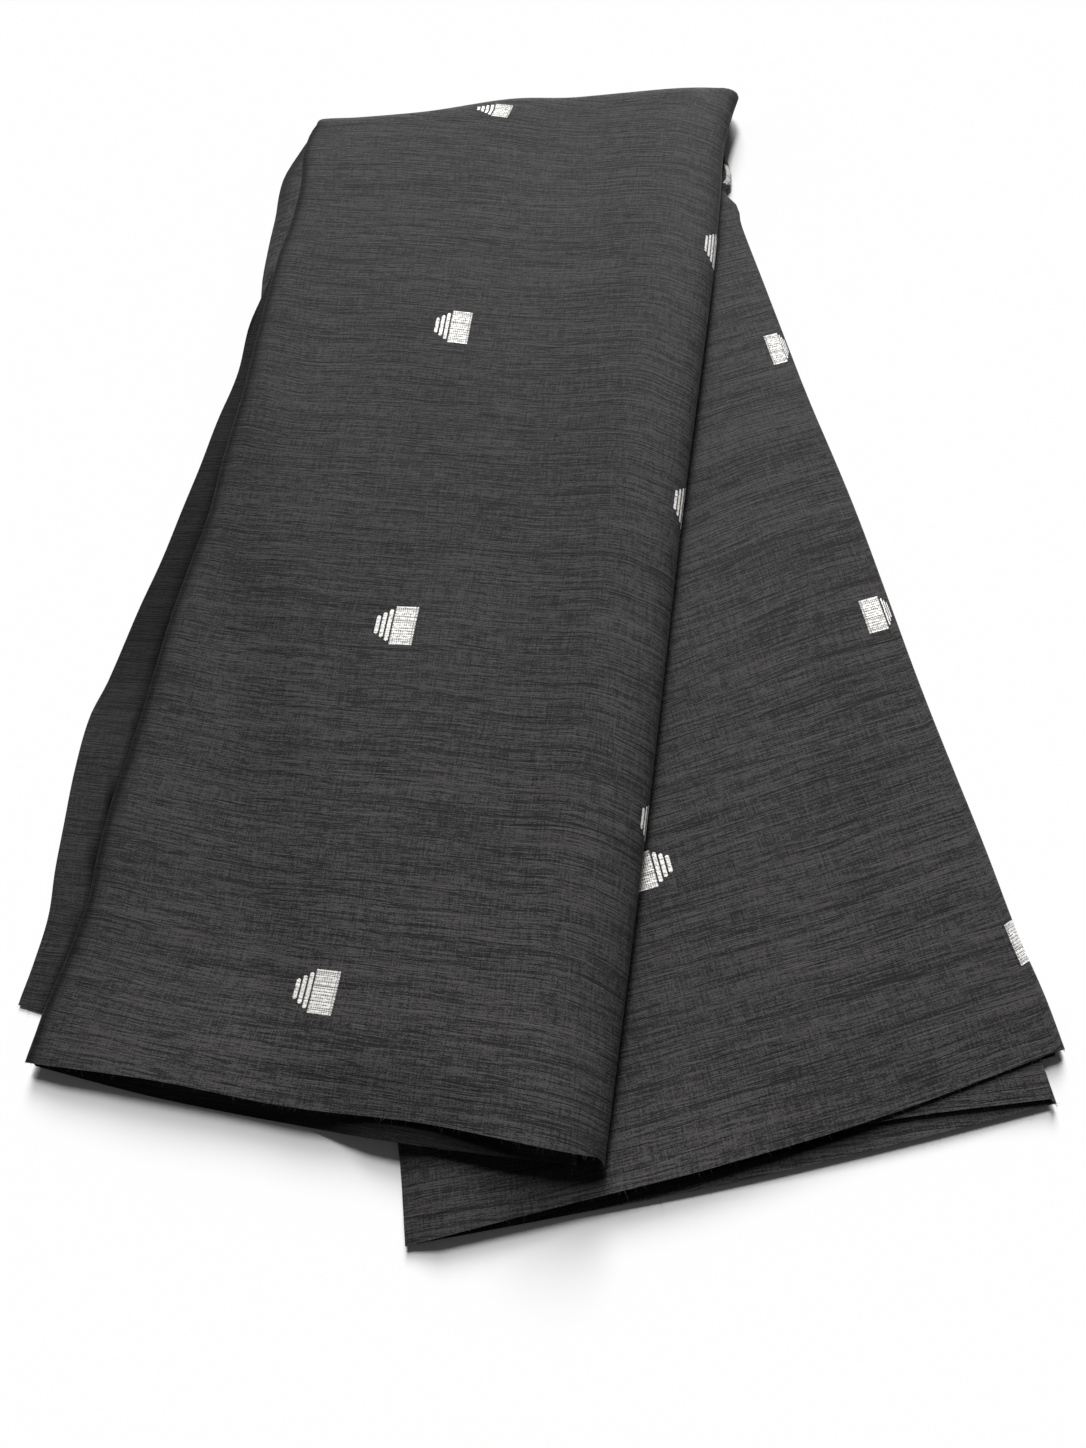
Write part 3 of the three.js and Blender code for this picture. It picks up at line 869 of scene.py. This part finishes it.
def fibrePiece(name, paths, radii, material):
    # three-sided tubes: each ring is the path's point plus the radius round its direction
    count, steps = paths.shape[:2]
    direction = np.gradient(paths, axis=1)
    direction /= np.linalg.norm(direction, axis=2, keepdims=True) + 1e-9
    helper = np.where(np.abs(direction[..., 2:]) > 0.8, [1.0, 0, 0], [0, 0, 1.0])
    side = np.cross(direction, helper)
    side /= np.linalg.norm(side, axis=2, keepdims=True) + 1e-9
    other = np.cross(direction, side)
    angles = np.arange(3) * 2 * math.pi / 3
    spokes = side[:, :, None] * np.cos(angles)[:, None] + other[:, :, None] * np.sin(angles)[:, None]
    rings = paths[:, :, None] + radii[..., None, None] * spokes
    index = np.arange(count * steps * 3).reshape(count, steps, 3)
    after = np.roll(index, -1, axis=2)
    walls = np.stack([index[:, :-1], after[:, :-1], after[:, 1:], index[:, 1:]], -1).reshape(-1, 4)
    starts = index[:, 0, ::-1].reshape(-1, 3)
    ends = index[:, -1].reshape(-1, 3)
    mesh = bpy.data.meshes.new(name)
    faces = walls.tolist() + starts.tolist() + ends.tolist()
    mesh.from_pydata(toFrame(rings.reshape(-1, 3)).tolist(), [], faces)
    mesh.polygons.foreach_set("use_smooth", np.ones(len(mesh.polygons), bool))
    mesh.materials.append(material)
    piece = bpy.data.objects.new(name, mesh)
    bpy.context.scene.collection.objects.link(piece)
    return piece


def frayedEnds(grid, material):
    # warp ends standing out of both cut ends: base + direction * length * t + sag * t^2
    random = np.random.default_rng(fray["seed"])
    t = np.linspace(0, 1, 4)
    paths = []
    for end, inside in ((0, 2), (-1, -3)):
        edge = grid[:, end]
        outwards = edge - grid[:, inside]
        outwards /= np.linalg.norm(outwards, axis=1, keepdims=True)
        place = random.uniform(0, len(edge) - 1.001, fray["count"] // 2)
        k = place.astype(int)
        share = (place - k)[:, None]
        base = edge[k] * (1 - share) + edge[k + 1] * share
        direction = outwards[k] + random.normal(0, fray["spread"], (len(k), 3)) * [1, 1, 0.5]
        low, high = fray["length"]
        length = low + (high - low) * random.uniform(0, 1, (len(k), 1)) ** 3
        sag = random.normal(0, fray["spread"], (len(k), 3)) * length
        start = base - outwards[k] * fray["rooted"]
        straight = start[:, None] + direction[:, None] * length[:, None] * t[:, None]
        paths.append(straight + sag[:, None] * t[:, None] ** 2)
    paths = np.concatenate(paths)
    paths[..., 2] = np.maximum(paths[..., 2], fray["radius"] * 1.5)
    radii = fray["radius"] * random.uniform(0.6, 1.2, (len(paths), 1)) * (1 - 0.5 * t)
    return fibrePiece("frayed_ends", paths, radii, material)


lint = {
    "seed": 9,
    "count": 240,
    "length": (2.0, 9.0),
    "steps": 9,
    "radius": 0.045,
    "lift": 0.3,
    "colour": (0.42, 0.41, 0.42, 1),
}


def lintHairs(grid, columns, material):
    # curly fibres lying on the cloth: heading turns steadily with a little chance
    random = np.random.default_rng(lint["seed"])
    normals = gridNormals(grid)
    layer = columns[0][:, 0]
    onTop = columns[4][:, 0] == 0
    upperRows = np.arange(3, cloth["upperSteps"] - 4)
    lowerRows = np.arange(cloth["upperSteps"] + 26, grid.shape[1] - 3)
    paths = []
    for topLayer, rows, count in ((0, upperRows, lint["count"] * 2 // 3), (3, lowerRows, lint["count"] // 3)):
        across = np.flatnonzero(onTop & (layer == topLayer))[4:-4]
        i, j = random.choice(across, count), random.choice(rows, count)
        normal = normals[i, j]
        ahead = grid[i, j + 1] - grid[i, j - 1]
        ahead /= np.linalg.norm(ahead, axis=1, keepdims=True)
        aside = np.cross(ahead, normal)
        low, high = lint["length"]
        length = low + (high - low) * random.uniform(0, 1, count) ** 2
        steps = lint["steps"]
        turning = random.normal(0, 0.35, (count, 1)) + random.normal(0, 0.15, (count, steps))
        heading = random.uniform(0, 2 * math.pi, (count, 1)) + np.cumsum(turning, 1)
        stride = (length / steps)[:, None]
        x = np.cumsum(np.cos(heading) * stride, 1)
        y = np.cumsum(np.sin(heading) * stride, 1)
        arch = np.sin(np.linspace(0, math.pi, steps)) ** 2
        rise = cloth["thickness"] / 2 + 0.08 + lint["lift"] * arch * random.uniform(0, 1, (count, 1))
        flat = grid[i, j][:, None] + aside[:, None] * x[..., None] + ahead[:, None] * y[..., None]
        paths.append(flat + normal[:, None] * rise[..., None])
    paths = np.concatenate(paths)
    radii = np.full(paths.shape[:2], lint["radius"]) * random.uniform(0.6, 1.2, (len(paths), 1))
    return fibrePiece("lint_hairs", paths, radii, material)


grid, u, v = clothGrid()
columns = sectionColumns()
sheet = sheetPiece("jamdani_cloth", grid, u, v, cloth["thickness"], clothFinish())
# painted shade share of every vertex, on both faces, kept in the second UV map
dark = np.tile(paintedShadeShare(grid, columns).ravel(), 2)
addMap(sheet, "crushedUv", dark, dark * 0)
print("cloth:", len(sheet.data.polygons) * 2, "triangles")
threads = frayedEnds(grid, fibreFinish("frayedYarn", fray["colour"]))
hairs = lintHairs(grid, columns, fibreFinish("paleLint", lint["colour"]))
print("fibres:", len(threads.data.polygons), len(hairs.data.polygons))

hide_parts("cloth")
for piece in (sheet, threads, hairs):
    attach(piece, "root")


studio = {
    "floorColour": (0.90, 0.90, 0.90, 1),
    "floorSize": 8.0,       # metres
    "floorDrop": 0.0001,    # below the cloth, in metres
    "worldStrength": 0.06,
    # each light: degrees from straight down, degrees about the upright, degrees across, strength
    "suns": [(42, 184, 14, 2.2), (60, 184, 22, 3.3)],
}


def makeStudio():
    # a wide pale floor, an even dim surround, and the lights from behind the cloth
    half, low = studio["floorSize"] / 2, -studio["floorDrop"]
    points = np.array([[-half, -half, low], [half, -half, low], [half, half, low], [-half, half, low]])
    finish = Finish("paleFloor")
    finish.feed(finish.shader.inputs["Base Color"], studio["floorColour"])
    finish.feed(finish.shader.inputs["Roughness"], 0.9)
    finish.feed(finish.shader.inputs["Specular IOR Level"], 0.0)
    floor = makePiece("studio_floor", points, np.array([[0, 1, 2, 3]]), finish.material)

    world = bpy.data.worlds.new("studioLight")
    world.use_nodes = True
    back = world.node_tree.nodes["Background"]
    back.inputs[0].default_value = (1, 1, 1, 1)
    back.inputs[1].default_value = studio["worldStrength"]
    bpy.context.scene.world = world

    for tip, turn, spread, strength in studio["suns"]:
        sun = bpy.data.lights.new("backLight", "SUN")
        sun.energy = strength
        sun.angle = math.radians(spread)
        lamp = bpy.data.objects.new("backLight", sun)
        lamp.rotation_euler = Euler((math.radians(tip), 0, math.radians(turn)))
        bpy.context.scene.collection.objects.link(lamp)


cameraView = {
    "place": (345.5, 29.4, 467.6),  # millimetres, from the cut corner of the upper leg
    "turn": (20.82725, 11.78262, 8.75549),
    "lens": 25.7625,
}


def makeCamera():
    data = bpy.data.cameras.new("camera")
    data.sensor_fit = "VERTICAL"
    data.sensor_width = data.sensor_height = 36
    data.lens = cameraView["lens"]
    data.clip_start, data.clip_end = 0.02, 50
    camera = bpy.data.objects.new("camera", data)
    camera.location = toFrame(cameraView["place"])
    camera.rotation_euler = Euler([math.radians(a) for a in cameraView["turn"]])
    bpy.context.scene.collection.objects.link(camera)
    bpy.context.scene.camera = camera


makeStudio()
makeCamera()
bpy.context.scene.view_settings.view_transform = "Standard"
print("studio and camera ready")
